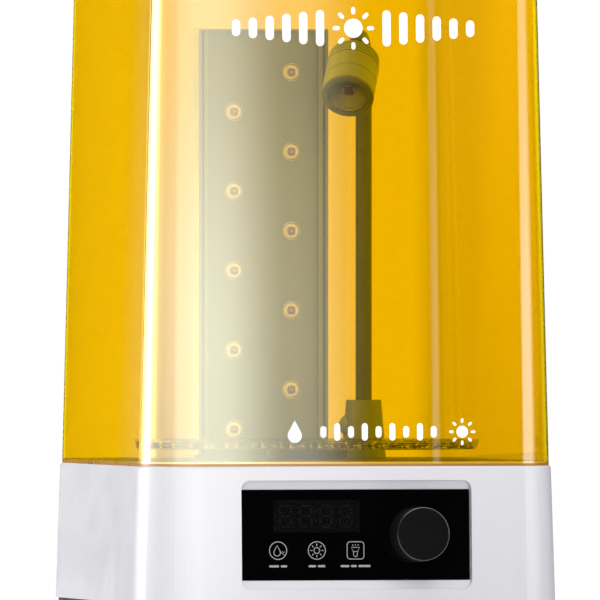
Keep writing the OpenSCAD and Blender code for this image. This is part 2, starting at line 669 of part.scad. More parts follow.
module lamp_led_board() color([0.75, 0.75, 0.76]) at_lamp() translate([0, 0, lamp_front - 6.1]) cylinder(r = 10, h = 1.6);

module lamp_led() color([0.8, 0.5, 0.3]) at_lamp() box([4.4, 4.4, 1], lamp_front - 4.45);

// ---- hood ----

// The hood's outer or inner skin: drafted walls, then a quarter round up to a flat top.
module hood_skin(w, d, r, h, top_r) {
    steps = 6;
    hull() {
        slab(w, d, r, sliver, $fn = hull_fn);
        for (i = [0:steps]) let (
            a = 90 * i / steps,
            z = h - top_r + top_r * sin(a),
            inset = (h - top_r) * hood_slope + top_r * (1 - cos(a))
        ) translate([0, 0, z - sliver])
            slab(w - 2 * inset, d - 2 * inset, max(r - inset, 3), sliver, $fn = hull_fn);
    }
}

module hood() color([1, 0.72, 0.02, 0.5]) translate([0, 0, ledge_z]) difference() {
    hood_skin(hood_w, hood_d, hood_r, hood_h, hood_top_r);
    translate([0, 0, -sliver]) hood_skin(hood_w - 2 * hood_wall, hood_d - 2 * hood_wall, hood_r - hood_wall,
        hood_h - hood_wall, hood_top_r - hood_wall);
}

// ---- nodes ----

place() base_shell();
place() base_plate();
place() rubber_feet();
place() base_screws();
place() deck_plate();
place() deck_screws();
place() panel_glass();
place() display_window();
place() display_segments();
place() display_module();
place() indicator_leds();
place() control_board();
place() encoder_body();
place() encoder_plunger();
place() encoder_shaft();
place() selector_knob();
place() main_board();
place() board_standoffs();
place() board_components();
place() led_driver();
place() dc_jack();
place() rocker_frame();
place() rocker_button();
place() drive_motor();
place() motor_bracket();
place() motor_screws();
place() shaft_bush();
place() drive_shaft();
place() magnet_rotor();
place() rotor_magnets();
place() drive_hub();
place() turntable_disc();
place() turntable_hub();
place() column_profile();
place() led_plate();
place() led_chips();
place() led_lenses();
place() column_cap();
place() column_foot();
place() column_screws();
place() arm_socket();
place() clamp_screw();
place() arm_ferrule();
place() gooseneck_lower();
place() gooseneck_middle();
place() gooseneck_upper();
place() gooseneck_hook();
place() lamp_neck();
place() lamp_heatsink();
place() lamp_housing();
place() lamp_bezel();
place() lamp_reflector();
place() lamp_led_board();
place() lamp_led();
place() lamp_window();
place() hood();
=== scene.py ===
"""Desktop curing station for resin prints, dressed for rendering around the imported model.

Metres, +Z up, the front towards -Y. P() takes millimetres from the middle of the base.
"""
import json
import math

import bpy
from mathutils import Matrix, Vector


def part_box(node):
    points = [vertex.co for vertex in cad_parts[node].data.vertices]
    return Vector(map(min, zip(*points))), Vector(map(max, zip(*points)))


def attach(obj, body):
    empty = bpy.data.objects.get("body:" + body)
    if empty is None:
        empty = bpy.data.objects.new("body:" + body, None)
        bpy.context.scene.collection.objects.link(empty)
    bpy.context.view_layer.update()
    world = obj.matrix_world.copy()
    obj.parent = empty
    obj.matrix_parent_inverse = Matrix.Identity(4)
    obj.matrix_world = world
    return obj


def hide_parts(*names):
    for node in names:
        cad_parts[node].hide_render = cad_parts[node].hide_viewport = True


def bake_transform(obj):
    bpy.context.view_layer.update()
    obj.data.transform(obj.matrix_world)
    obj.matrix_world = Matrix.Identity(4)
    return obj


MM = 0.001
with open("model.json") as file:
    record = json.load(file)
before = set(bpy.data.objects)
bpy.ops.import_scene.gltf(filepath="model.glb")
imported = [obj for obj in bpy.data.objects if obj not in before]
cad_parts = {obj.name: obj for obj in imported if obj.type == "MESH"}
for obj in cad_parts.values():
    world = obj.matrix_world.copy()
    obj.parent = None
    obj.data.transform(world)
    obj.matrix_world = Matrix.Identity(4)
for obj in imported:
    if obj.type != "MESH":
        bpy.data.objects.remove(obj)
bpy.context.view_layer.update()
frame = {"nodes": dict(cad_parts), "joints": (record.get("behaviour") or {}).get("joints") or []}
nodes = frame["nodes"]
shell_low, shell_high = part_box("base_shell")
AXIS_Y = (shell_low.y + shell_high.y) / 2


def P(x, y, z):
    """A point given in millimetres from the middle of the base, on the table."""
    return Vector((x * MM, y * MM + AXIS_Y, z * MM))


def joint(name):
    """The frame's entry for a joint."""
    return next(j for j in frame["joints"] if j["name"] == name)


# ---- shaders ----


class Shader:
    """Builds one material's nodes round its principled surface."""

    def __init__(self, name, **sockets):
        self.material = bpy.data.materials.new(name)
        self.material.use_nodes = True
        self.tree = self.material.node_tree
        self.surface = self.tree.nodes["Principled BSDF"]
        self.coordinates = self.add("ShaderNodeTexCoord").outputs["Object"]
        for socket, value in sockets.items():
            self.put(socket.replace("_", " ").title().replace("Ior", "IOR"), value)

    def add(self, kind, **settings):
        """Adds a node of any kind."""
        node = self.tree.nodes.new(kind)
        for key, value in settings.items():
            setattr(node, key, value)
        return node

    def link(self, source, target):
        self.tree.links.new(source, target)

    def put(self, socket, value):
        """Sets a socket of the surface to a number, a colour or another node's output."""
        target = self.surface.inputs[socket]
        if isinstance(value, bpy.types.NodeSocket):
            self.link(value, target)
        elif isinstance(value, tuple) and len(value) == 3:
            target.default_value = (*value, 1.0)
        else:
            target.default_value = value

    def noise(self, scale, detail=3.0, stretch=(1, 1, 1)):
        """Noise that stays with the piece; stretch squeezes it along an axis."""
        mapping = self.add("ShaderNodeMapping")
        mapping.inputs["Scale"].default_value = stretch
        self.link(self.coordinates, mapping.inputs["Vector"])
        node = self.add("ShaderNodeTexNoise")
        node.inputs["Scale"].default_value = scale
        node.inputs["Detail"].default_value = detail
        self.link(mapping.outputs[0], node.inputs["Vector"])
        return node.outputs["Fac"]

    def span(self, value, low, high):
        """Maps noise, which lies mostly between 0.3 and 0.7, to low and high."""
        node = self.add("ShaderNodeMapRange")
        node.inputs["From Min"].default_value = 0.3
        node.inputs["From Max"].default_value = 0.7
        node.inputs["To Min"].default_value = low
        node.inputs["To Max"].default_value = high
        self.link(value, node.inputs["Value"])
        return node.outputs["Result"]

    def blend(self, factor, first, second):
        """A colour between two colours."""
        node = self.add("ShaderNodeMix", data_type="RGBA")
        self.link(factor, node.inputs["Factor"])
        node.inputs["A"].default_value = (*first, 1.0)
        node.inputs["B"].default_value = (*second, 1.0)
        return node.outputs["Result"]

    def bump(self, height, strength, distance=0.0002, rounded=0.0):
        """Makes a height felt in the shading, and rounds edges by a radius where asked."""
        node = self.add("ShaderNodeBump")
        node.inputs["Strength"].default_value = strength
        node.inputs["Distance"].default_value = distance
        self.link(height, node.inputs["Height"])
        if rounded:
            bevel = self.add("ShaderNodeBevel", samples=6)
            bevel.inputs["Radius"].default_value = rounded
            self.link(bevel.outputs[0], node.inputs["Normal"])
        self.put("Normal", node.outputs[0])


def moulded(name, colour, rough, grain=0.05, grain_scale=1500, rounded=0.0, shade=0.88, **sockets):
    """Moulded plastic or rubber: a fine surface grain and slow changes of gloss and shade."""
    s = Shader(name, **sockets)
    slow = s.noise(18, 2)
    s.put("Base Color", s.blend(slow, tuple(c * shade for c in colour), colour))
    s.put("Roughness", s.span(s.noise(60, 4), rough * 0.8, rough * 1.2))
    s.bump(s.noise(grain_scale, 2), grain, rounded=rounded)
    return s.material


def metal(name, colour, rough, stretch=(1, 1, 60), rounded=0.0, scale=700, grain=0.12, **sockets):
    """Drawn, turned or brushed metal: grain that runs along one axis."""
    s = Shader(name, metallic=1.0, **sockets)
    grain_map = s.noise(scale, 3, stretch)
    s.put("Base Color", s.blend(grain_map, tuple(c * 0.8 for c in colour), colour))
    s.put("Roughness", s.span(grain_map, rough * 0.75, rough * 1.3))
    s.bump(grain_map, grain, 0.0001, rounded)
    return s.material


def tinted_clear(name, wall_tint, rough, ior=1.49, face_tint=None, **sockets):
    """Clear plastic. Lamps shine straight through it, tinted, so that what it covers is lit."""
    s = Shader(name, transmission_weight=1.0, ior=ior, **sockets)
    s.put("Base Color", wall_tint)
    s.put("Roughness", s.span(s.noise(35, 3), rough * 0.5, rough * 1.5))
    through = s.add("ShaderNodeBsdfTransparent")
    through.inputs["Color"].default_value = (*(face_tint or tuple(c**0.5 for c in wall_tint)), 1.0)
    path = s.add("ShaderNodeLightPath")
    mix = s.add("ShaderNodeMixShader")
    s.link(path.outputs["Is Shadow Ray"], mix.inputs["Fac"])
    s.link(s.surface.outputs[0], mix.inputs[1])
    s.link(through.outputs[0], mix.inputs[2])
    s.link(mix.outputs[0], s.tree.nodes["Material Output"].inputs["Surface"])
    return s.material


HOOD_TINT = (0.83, 0.605, 0.008)
HOOD_IOR = 1.15
HOOD_LAMP_TINT = (1.0, 0.97, 0.86)

MAT = {
    "shell": moulded("white_gloss_shell", (0.645, 0.64, 0.68), 0.35, 0.01, 900, 0.0006, 0.97,
                     specular_ior_level=0.2, coat_weight=0.38, coat_roughness=0.03),
    "plinth": moulded("dark_plinth", (0.02, 0.02, 0.022), 0.5, 0.25, 1800, specular_ior_level=0.3),
    "rubber": moulded("foot_rubber", (0.02, 0.02, 0.02), 0.8, 0.4, 2200),
    "deck": moulded("deck_grey", (0.19, 0.185, 0.175), 0.4, 0.25, 1600),
    "panel": moulded("panel_black", (0.0012, 0.0012, 0.0013), 0.08, 0.004, 300, specular_ior_level=0.15),
    "segment": moulded("digit_grey", (0.2, 0.2, 0.2), 0.4),
    "black": moulded("black_plastic", (0.02, 0.02, 0.021), 0.4, 0.15, 1700, 0.0003),
    "mark": moulded("panel_print", (0.34, 0.34, 0.34), 0.5),
    "print": moulded("hood_print", (0.95, 0.95, 0.95), 0.45, 0.02, 1200, shade=0.98),
    "knob": moulded("knob_black", (0.011, 0.011, 0.011), 0.4, 0.06, 1800, specular_ior_level=0.25),
    "white": moulded("white_plastic", (0.75, 0.75, 0.73), 0.4),
    "board": moulded("board_green", (0.012, 0.11, 0.045), 0.35, 0.1, 700),
    "board_black": moulded("board_black", (0.006, 0.007, 0.006), 0.4, 0.1, 700),
    "steel": metal("turned_steel", (0.62, 0.62, 0.64), 0.28, (1, 1, 40)),
    "aluminium": metal("motor_aluminium", (0.66, 0.66, 0.68), 0.34, (60, 60, 1), 0.0003),
    "anodised": moulded("anodised_grey", (0.5, 0.55, 0.49), 0.38, 0.1, 900, 0.0002),
    "brass": metal("brass", (0.75, 0.55, 0.22), 0.3),
    "plate": moulded("diode_plate_grey", (0.36, 0.41, 0.39), 0.42, 0.06, 900),
    "chip": moulded("diode_chip", (0.26, 0.09, 0.04), 0.4),
    "hub": moulded("hub_grey", (0.2, 0.2, 0.19), 0.4, 0.15, 1500),
    "sleeve": moulded("sleeve_grey", (0.25, 0.3, 0.27), 0.32, 0.08, 1400, specular_ior_level=0.6),
    "socket": moulded("socket_grey", (0.58, 0.68, 0.58), 0.35, 0.1, 1400, 0.0004),
    "lamp": moulded("lamp_grey", (0.62, 0.74, 0.64), 0.33, 0.06, 1600, 0.0002),
    "bezel": moulded("bezel_grey", (0.28, 0.33, 0.27), 0.3, 0.06, 1600, 0.0002),
    "reflector": metal("reflector", (0.4, 0.44, 0.38), 0.42, (1, 1, 30)),
    # The knob's chamfer in a lighter metal finish than its black plastic, so that it shows as a bright line:
    # a painted highlight.
    "edge": metal("knob_edge_painted_highlight", (0.16, 0.16, 0.16), 0.35),
    "knob_face": moulded("knob_face_black", (0.0045, 0.0045, 0.0045), 0.5, 0.05, 1200,
                         specular_ior_level=0.06),
    "emitter": moulded("lamp_emitter", (0.2, 0.075, 0.04), 0.4),
    "die": moulded("diode_die_pale", (0.75, 0.6, 0.35), 0.4),
    # A pale ring under each diode lens that glows a little: a painted highlight and glow for the lens's
    # shine, not a lit diode.
    "lens_glint_ring": moulded("diode_painted_lens_glint", (0.9, 0.85, 0.5), 0.3, emission_color=(1.0, 0.88, 0.4),
                   emission_strength=0.35),
    "hood": tinted_clear("amber_hood", HOOD_TINT, 0.01, HOOD_IOR, HOOD_LAMP_TINT, coat_weight=1.0,
                         coat_ior=1.8, coat_roughness=0.01),
    "hood_inside": tinted_clear("amber_hood_inside", HOOD_TINT, 0.01, HOOD_IOR, HOOD_LAMP_TINT),
    # The hood's foot as two opaque lines, standing in for how the clear rim looks through its own thickness:
    # a dark one, painted shade, and above it a bright one, a painted highlight.
    "hood_rim_shade": moulded("amber_hood_rim_painted_shade", (0.36, 0.155, 0.004), 0.3, 0.05, 900),
    "hood_edge_highlight": moulded("amber_hood_edge_painted_highlight", (0.66, 0.37, 0.004), 0.25, 0.05, 900, coat_weight=1.0,
                         coat_ior=1.8, coat_roughness=0.01),
    "smoke": moulded("display_smoke", (0.005, 0.005, 0.005), 0.12, 0.004, 300, alpha=0.7,
                     specular_ior_level=0.2),
    "turntable": tinted_clear("turntable_clear", (0.8, 0.84, 0.66), 0.1, 1.3),
    "lens": tinted_clear("lens_clear", (0.97, 0.96, 0.85), 0.05, 1.3, (0.99, 0.99, 0.95), coat_weight=1.0,
                         coat_roughness=0.02),
    "lamp_glass": tinted_clear("lamp_glass", (0.96, 0.96, 0.96), 0.02, 1.2),
}

NODE_MATERIALS = {
    "base_shell": "shell", "base_plate": "plinth", "rubber_feet": "rubber", "base_screws": "steel",
    "deck_plate": "deck", "deck_screws": "steel", "panel_glass": "panel", "display_window": "smoke",
    "display_segments": "segment", "display_module": "black", "indicator_leds": "white",
    "control_board": "board_black", "encoder_body": "black", "encoder_plunger": "white",
    "encoder_shaft": "steel", "selector_knob": "knob", "main_board": "board", "board_standoffs": "brass",
    "board_components": "black", "led_driver": "aluminium", "dc_jack": "black", "rocker_frame": "black",
    "rocker_button": "knob", "drive_motor": "steel", "motor_bracket": "aluminium", "motor_screws": "steel",
    "shaft_bush": "brass", "drive_shaft": "steel", "magnet_rotor": "black", "rotor_magnets": "steel",
    "drive_hub": "hub", "turntable_disc": "turntable", "turntable_hub": "hub", "column_profile": "anodised",
    "led_plate": "plate", "led_chips": "chip", "led_lenses": "lens", "column_cap": "anodised",
    "column_foot": "anodised", "column_screws": "steel", "arm_socket": "socket", "clamp_screw": "socket",
    "arm_ferrule": "steel", "gooseneck_lower": "sleeve", "gooseneck_middle": "sleeve",
    "gooseneck_upper": "sleeve", "gooseneck_hook": "sleeve", "lamp_neck": "lamp", "lamp_heatsink": "lamp",
    "lamp_housing": "lamp", "lamp_bezel": "bezel", "lamp_reflector": "reflector", "lamp_led_board": "white",
    "lamp_led": "emitter", "lamp_window": "lamp_glass", "hood": "hood",
}


def dress_nodes():
    """Gives each CAD piece its material, and shades its faces smooth where they meet gently."""
    for name, key in NODE_MATERIALS.items():
        for slot in nodes[name].material_slots:
            slot.material = MAT[key]
        mesh = nodes[name].data
        mesh.polygons.foreach_set("use_smooth", [True] * len(mesh.polygons))
        mesh.set_sharp_from_angle(angle=math.radians(30))


# ---- mesh helpers ----


def piece(name, vertices, faces, material, body=None, smooth_angle=40):
    """A mesh object in the part's frame, shaded smooth where its faces meet at less than smooth_angle."""
    mesh = bpy.data.meshes.new(name)
    mesh.from_pydata([tuple(v) for v in vertices], [], faces)
    mesh.validate()
    mesh.materials.append(MAT[material])
    mesh.polygons.foreach_set("use_smooth", [True] * len(mesh.polygons))
    mesh.set_sharp_from_angle(angle=math.radians(smooth_angle))
    obj = bpy.data.objects.new(name, mesh)
    bpy.context.scene.collection.objects.link(obj)
    if body:
        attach(obj, body)
    return obj


def bridge(rings, closed_profile=False, start_cap=False, end_cap=False):
    """Faces between rings of points, each ring closed on itself."""
    n = len(rings[0])
    vertices = [v for ring in rings for v in ring]
    spans = len(rings) if closed_profile else len(rings) - 1
    faces = []
    for i in range(spans):
        a, b = i * n, ((i + 1) % len(rings)) * n
        faces += [(a + j, a + (j + 1) % n, b + (j + 1) % n, b + j) for j in range(n)]
    if start_cap:
        faces.append(tuple(reversed(range(n))))
    if end_cap:
        faces.append(tuple(range(len(vertices) - n, len(vertices))))
    return vertices, faces


def rounded_outline(width, depth, radius, steps):
    """Points of a rounded rectangle about the origin, counter-clockwise, in millimetres."""
    points = []
    for quarter, (sx, sy) in enumerate([(1, 1), (-1, 1), (-1, -1), (1, -1)]):
        cx, cy = sx * (width / 2 - radius), sy * (depth / 2 - radius)
        for i in range(steps + 1):
            a = math.radians(90 * quarter + 90 * i / steps)
            points.append((cx + radius * math.cos(a), cy + radius * math.sin(a)))
    return points


def lathe(profile, steps, place):
    """Rings of a turned shape: profile is (radius, height) in mm, place puts a point on the part."""
    return [[place @ Vector((x * MM, y * MM, h * MM)) for x, y in disc(0, 0, r, steps)] for r, h in profile]


# ---- camera, light and floor ----

AZIMUTH = math.radians(-13.6)
CAMERA_DISTANCE = 8.0
VIEW_WIDTH = 0.3103
AIM_HEIGHT = 164.8
AIM_LEFT = 1.8
LIGHT_AIM_HEIGHT = 190


def make_camera():
    """Level, from the front and a little to the left, with the machine's top and foot out of the picture."""
    right = Vector((math.cos(AZIMUTH), math.sin(AZIMUTH), 0))
    back = Vector((math.sin(AZIMUTH), -math.cos(AZIMUTH), 0))
    target = P(0, 0, AIM_HEIGHT) - right * AIM_LEFT * MM
    data = bpy.data.cameras.new("camera")
    data.sensor_width = 36
    data.lens = data.sensor_width * CAMERA_DISTANCE / VIEW_WIDTH
    data.clip_start, data.clip_end = 0.1, 60
    camera = bpy.data.objects.new("camera", data)
    camera.location = target + back * CAMERA_DISTANCE
    camera.rotation_euler = (-back).to_track_quat("-Z", "Y").to_euler()
    bpy.context.scene.collection.objects.link(camera)
    bpy.context.scene.camera = camera


def softbox(name, azimuth, distance, height, size, power, shines=True):
    """An area light at an azimuth round the machine, aimed at its middle."""
    data = bpy.data.lights.new(name, "AREA")
    data.shape = "RECTANGLE"
    data.size, data.size_y = size
    data.energy = power
    light = bpy.data.objects.new(name, data)
    a = math.radians(azimuth)
    middle = P(0, 0, LIGHT_AIM_HEIGHT)
    light.location = middle + Vector((math.sin(a) * distance, -math.cos(a) * distance, height))
    light.rotation_euler = (middle - light.location).to_track_quat("-Z", "Y").to_euler()
    light.visible_camera = False
    light.visible_transmission = False
    light.visible_glossy = shines
    bpy.context.scene.collection.objects.link(light)


def mix_values(tree, factor, low, high):
    """A node that goes from low to high with factor; each may be a number or a socket."""
    node = tree.nodes.new("ShaderNodeMix")
    tree.links.new(factor, node.inputs["Factor"])
    for socket, value in (("A", low), ("B", high)):
        if isinstance(value, float):
            node.inputs[socket].default_value = value
        else:
            tree.links.new(value, node.inputs[socket])
    return node.outputs["Result"]


def smoothstep(low, high, value):
    """0 below low, 1 above high, and an easy curve between."""
    t = min(max((value - low) / (high - low), 0.0), 1.0)
    return t * t * (3 - 2 * t)


def level_at(stops, value):
    """Reads a list of (position, level) stops, easing between neighbours."""
    for (a, level_a), (b, level_b) in zip(stops, stops[1:]):
        if a <= value <= b:
            return level_a + (level_b - level_a) * smoothstep(a, b, value)
    return 0.0


def grid_faces(rows, columns):
    """Quads between rows of points that lie one row after another."""
    corners = [r * columns + i for r in range(rows - 1) for i in range(columns - 1)]
    return [(c, c + 1, columns + c + 1, columns + c) for c in corners]


# How strong the white all round is as a light, as a background, and through clear plastic.
WORLD_LIGHT = 0.47
WORLD_WHITE = 1.02
WORLD_THROUGH_HOOD = 1.42

# Curved cards that stand round the machine's front, seen only in reflections, and how bright each one is by
# azimuth in degrees: a bright strip on the left, a broad glow in front that fades out towards the right with
# a thin line beyond it, and a soft card on the right.
CARD_RADIUS = 620
CARD_SEGMENTS = 240
CARD_LEVEL = 1.1
FRONT_CARD_TOP_LEVEL = 0.66
RIGHT_CARD_TOP_LEVEL = 0.6
CARD_FOOT = 34
CARD_HEIGHTS = [0, 8, 16, 24, CARD_FOOT] + list(range(120, 381, 20)) + [560]
SIDE_CARD_STOPS = [(-156, 0.0), (-150, 0.25), (-138, 0.8), (-128, 2.6), (-116, 6.6), (-106, 9.0), (-93, 3.9),
                   (-90, 3.9)]
FRONT_CARD_STOPS = [(-90, 3.9), (-70, 3.6), (-52, 4.3), (-37, 6.4), (2.4, 7.3), (7.4, 2.6), (12.5, 0.0),
                    (16.0, 0.0), (16.2, 1.0), (16.4, 1.0), (16.6, 0.0)]
RIGHT_CARD_STOPS = [(43, 0.0), (49, 3.2), (62, 3.2), (76, 0.0)]
FRONT_CARD_TINT = (0.98, 1.02, 0.88)
CARD_TOP_FADE = (150, 360)


def glowing_card(name, vertices, faces, glow, tint=(1.0, 1.0, 1.0)):
    """A card that shines by its own glow at each vertex, dimmed to room light for anything diffuse."""
    s = Shader(name + "_glow")
    emission = s.add("ShaderNodeEmission")
    emission.inputs["Color"].default_value = (*tint, 1.0)
    glow_level = s.add("ShaderNodeAttribute", attribute_name="glow").outputs["Fac"]
    diffuse_depth = s.add("ShaderNodeLightPath").outputs["Diffuse Depth"]
    strength = mix_values(s.tree, diffuse_depth, glow_level, WORLD_LIGHT)
    s.link(strength, emission.inputs["Strength"])
    s.link(emission.outputs[0], s.tree.nodes["Material Output"].inputs["Surface"])
    MAT[name] = s.material
    card = piece(name, vertices, faces, name)
    card.data.attributes.new("glow", "FLOAT", "POINT").data.foreach_set("value", glow)
    card.visible_camera = card.visible_diffuse = card.visible_shadow = False
    return card


# How bright the card behind the machine is, by millimetres to the right, low down and high up. It only shows
# through clear plastic.
BACK_CARD_Y = 200
BACK_CARD_HEIGHTS = (-1500, 90, 310, 3000)
BACK_CARD_STOPS = [(-2500, 2.4, 2.4), (-52, 2.3, 2.3), (-38, 2.0, 2.0), (-35.5, 0.8, 1.8), (-33, 0.72, 1.35),
                   (-28, 0.72, 1.25), (-20, 0.78, 1.2), (-10, 0.95, 1.2), (21, 1.0, 1.2), (39, 1.4, 1.4),
                   (108, 1.4, 1.4), (119, 1.03, 1.08), (144, 1.05, 1.2), (160, 1.12, 1.5), (2500, 1.12, 1.5)]


def back_card():
    """A flat card that evens out what shows through the hood from the front."""
    vertices = [P(x, BACK_CARD_Y, z) for z in BACK_CARD_HEIGHTS for x, _, _ in BACK_CARD_STOPS]
    low, high = ([stop[k] for stop in BACK_CARD_STOPS] for k in (1, 2))
    faces = grid_faces(len(BACK_CARD_HEIGHTS), len(BACK_CARD_STOPS))
    card = glowing_card("back_card", vertices, faces, low * 2 + high * 2)
    card.visible_glossy = False


def reflector_card(name, stops, top_level, tint=(1.0, 1.0, 1.0)):
    """A curved card in front of the machine that only reflections see, as in a product studio."""
    first, last = stops[0][0], stops[-1][0]
    even = {first + (last - first) * i / CARD_SEGMENTS for i in range(CARD_SEGMENTS + 1)}
    azimuths = sorted(even | {stop for stop, _ in stops})
    vertices, glow = [], []
    for z in CARD_HEIGHTS:
        for azimuth in azimuths:
            a = math.radians(azimuth)
            vertices.append(P(CARD_RADIUS * math.sin(a), -CARD_RADIUS * math.cos(a), z))
            lift = CARD_LEVEL + (top_level - CARD_LEVEL) * smoothstep(*CARD_TOP_FADE, z)
            glow.append(level_at(stops, azimuth) * lift * smoothstep(0, CARD_FOOT, z))
    card = glowing_card(name, vertices, grid_faces(len(CARD_HEIGHTS), len(azimuths)), glow, tint)
    card.visible_transmission = False
    return card


def shine_only_on(card, pieces):
    """Keeps a card's glow off everything but these pieces."""
    lit = bpy.data.collections.new(card.name + "_lights")
    for obj in pieces:
        lit.objects.link(obj)
    card.light_linking.receiver_collection = lit


OVERHEAD_FADE = (0.05, 0.65)
OVERHEAD_LIGHT = 0.9


def make_world():
    """White behind and through clear plastic, dimmer as a light. In reflections only its top is bright."""
    world = bpy.data.worlds.new("studio")
    bpy.context.scene.world = world
    world.use_nodes = True
    tree = world.node_tree
    background = tree.nodes["Background"]
    path = tree.nodes.new("ShaderNodeLightPath")
    split = tree.nodes.new("ShaderNodeSeparateXYZ")
    tree.links.new(tree.nodes.new("ShaderNodeTexCoord").outputs["Generated"], split.inputs[0])
    overhead = tree.nodes.new("ShaderNodeMapRange")
    overhead.inputs["From Min"].default_value, overhead.inputs["From Max"].default_value = OVERHEAD_FADE
    overhead.inputs["To Min"].default_value, overhead.inputs["To Max"].default_value = 0.0, OVERHEAD_LIGHT
    tree.links.new(split.outputs["Z"], overhead.inputs["Value"])
    strength = mix_values(tree, path.outputs["Is Glossy Ray"], WORLD_LIGHT, overhead.outputs[0])
    strength = mix_values(tree, path.outputs["Is Transmission Ray"], strength, WORLD_THROUGH_HOOD)
    strength = mix_values(tree, path.outputs["Diffuse Depth"], strength, WORLD_LIGHT)
    strength = mix_values(tree, path.outputs["Is Camera Ray"], strength, WORLD_WHITE)
    tree.links.new(strength, background.inputs["Strength"])
    background.inputs["Color"].default_value = (1, 1, 1, 1)


FLOOR_FADE = (0.24, 0.42)
FLOOR_SIZE = 6.0


def make_floor():
    """A pale floor that fades into the white behind it, also where clear plastic shows it."""
    s = Shader("pale_floor", roughness=0.6)
    s.put("Base Color", s.blend(s.noise(1.5, 2), (0.74, 0.74, 0.745), (0.77, 0.77, 0.77)))
    distance = s.add("ShaderNodeVectorMath", operation="LENGTH")
    s.link(s.coordinates, distance.inputs[0])
    far = s.add("ShaderNodeMapRange", interpolation_type="SMOOTHSTEP")
    far.inputs["From Min"].default_value, far.inputs["From Max"].default_value = FLOOR_FADE
    s.link(distance.outputs["Value"], far.inputs["Value"])
    path = s.add("ShaderNodeLightPath")
    straight = s.add("ShaderNodeMath", operation="MAXIMUM")
    s.link(path.outputs["Is Camera Ray"], straight.inputs[0])
    s.link(path.outputs["Is Transmission Ray"], straight.inputs[1])
    seen = s.add("ShaderNodeMath", operation="MULTIPLY")
    s.link(far.outputs[0], seen.inputs[0])
    s.link(mix_values(s.tree, path.outputs["Diffuse Depth"], straight.outputs[0], 0.0), seen.inputs[1])
    white = s.add("ShaderNodeEmission")
    strength = mix_values(s.tree, path.outputs["Is Transmission Ray"], WORLD_WHITE, WORLD_THROUGH_HOOD)
    s.link(strength, white.inputs["Strength"])
    mix = s.add("ShaderNodeMixShader")
    s.link(seen.outputs[0], mix.inputs["Fac"])
    s.link(s.surface.outputs[0], mix.inputs[1])
    s.link(white.outputs[0], mix.inputs[2])
    s.link(mix.outputs[0], s.tree.nodes["Material Output"].inputs["Surface"])
    MAT["floor"] = s.material
    corners = [(x * FLOOR_SIZE, y * FLOOR_SIZE, 0) for x, y in ((-1, -1), (1, -1), (1, 1), (-1, 1))]
    floor = piece("floor", corners, [(0, 1, 2, 3)], "floor")


def make_stage():
    """The world, floor, cards and lamps. The front card follows once there is a hood for it to shine on."""
    make_world()
    make_floor()
    reflector_card("side_card", SIDE_CARD_STOPS, CARD_LEVEL)
    reflector_card("right_card", RIGHT_CARD_STOPS, RIGHT_CARD_TOP_LEVEL)
    back_card()
    softbox("front_soft", 0, 0.66, 0.15, (0.45, 0.7), 2.4, shines=False)
    softbox("left_soft", -120, 0.9, 0.1, (0.5, 0.8), 8.0, shines=False)
    softbox("right_soft", 80, 1.3, 0.2, (0.9, 1.1), 4.6, shines=False)
    softbox("top_soft", -20, 0.5, 1.3, (1.2, 1.2), 6)
    bpy.context.scene.view_settings.view_transform = "Standard"


# ---- hood ----

hood_low, hood_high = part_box("hood")
HOOD_W, HOOD_D = ((hood_high - hood_low).xy / MM)
HOOD_Z, HOOD_TOP = hood_low.z / MM, hood_high.z / MM
HOOD_WALL = 2.0
HOOD_CORNER = 27.0
HOOD_TOP_RADIUS = 14.0
HOOD_SLOPE = math.tan(math.radians(1.45))
CORNER_STEPS = 20
RIM_SHADE_LINE = 1.3
EDGE_HIGHLIGHT_LINE = 2.3


def hood_levels(wall):
    """Heights of the rings from rim to top, each with how far the rounded top has curled in by then."""
    top, radius = HOOD_TOP - wall, HOOD_TOP_RADIUS - wall
    shoulder = top - radius
    levels = [(HOOD_Z, 0.0), (HOOD_Z + RIM_SHADE_LINE, 0.0), (HOOD_Z + EDGE_HIGHLIGHT_LINE, 0.0)]
    levels += [(HOOD_Z + (shoulder - HOOD_Z) * i / 12, 0.0) for i in range(1, 12)]
    arcs = [math.radians(7.5 * i) for i in range(13)]
    return levels + [(shoulder + radius * math.sin(a), radius * (1 - math.cos(a))) for a in arcs]


def hood_rings(wall):
    """Rings of the hood's outer skin, or of its inner one where wall is given."""
    shoulder = HOOD_TOP - HOOD_TOP_RADIUS
    rings = []
    for z, curl in hood_levels(wall):
        inset = wall + (min(z, shoulder) - HOOD_Z) * HOOD_SLOPE + curl
        corner = max(HOOD_CORNER - inset, 3.0)
        rings.append([P(x, y, z) for x, y in
                      rounded_outline(HOOD_W - 2 * inset, HOOD_D - 2 * inset, corner, CORNER_STEPS)])
    return rings


def make_hood():
    """One closed shell, glossy outside and plain inside, with two opaque lines at its rim: a dark one that
    is painted shade and a bright one that is a painted highlight.
    """
    outer, inner = hood_rings(0.0), hood_rings(HOOD_WALL)
    n = len(outer[0])
    vertices, faces = bridge(list(reversed(outer)) + inner)
    faces = [tuple(reversed(f)) for f in faces]
    faces.append(tuple(range(n)))
    last = len(vertices) - n
    faces.append(tuple(reversed(range(last, len(vertices)))))
    hood = piece("hood_shell", vertices, faces, "hood", "hood")
    for name in ("hood_inside", "hood_rim_shade", "hood_edge_highlight"):
        hood.data.materials.append(MAT[name])
    middle = P(0, 0, (HOOD_Z + HOOD_TOP) / 2)
    # The lowest faces take the painted shade line, and the next ones on the outside take the painted
    # highlight line.
    for face in hood.data.polygons:
        if face.center.z < hood_low.z + RIM_SHADE_LINE * MM:
            face.material_index = 2
        elif face.normal.dot(face.center - middle) < 0:
            face.material_index = 1
        elif face.center.z < hood_low.z + EDGE_HIGHLIGHT_LINE * MM:
            face.material_index = 3
    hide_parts("hood")
    return hood


BAND_GAP = 0.02
BAND_THICKNESS = 0.14


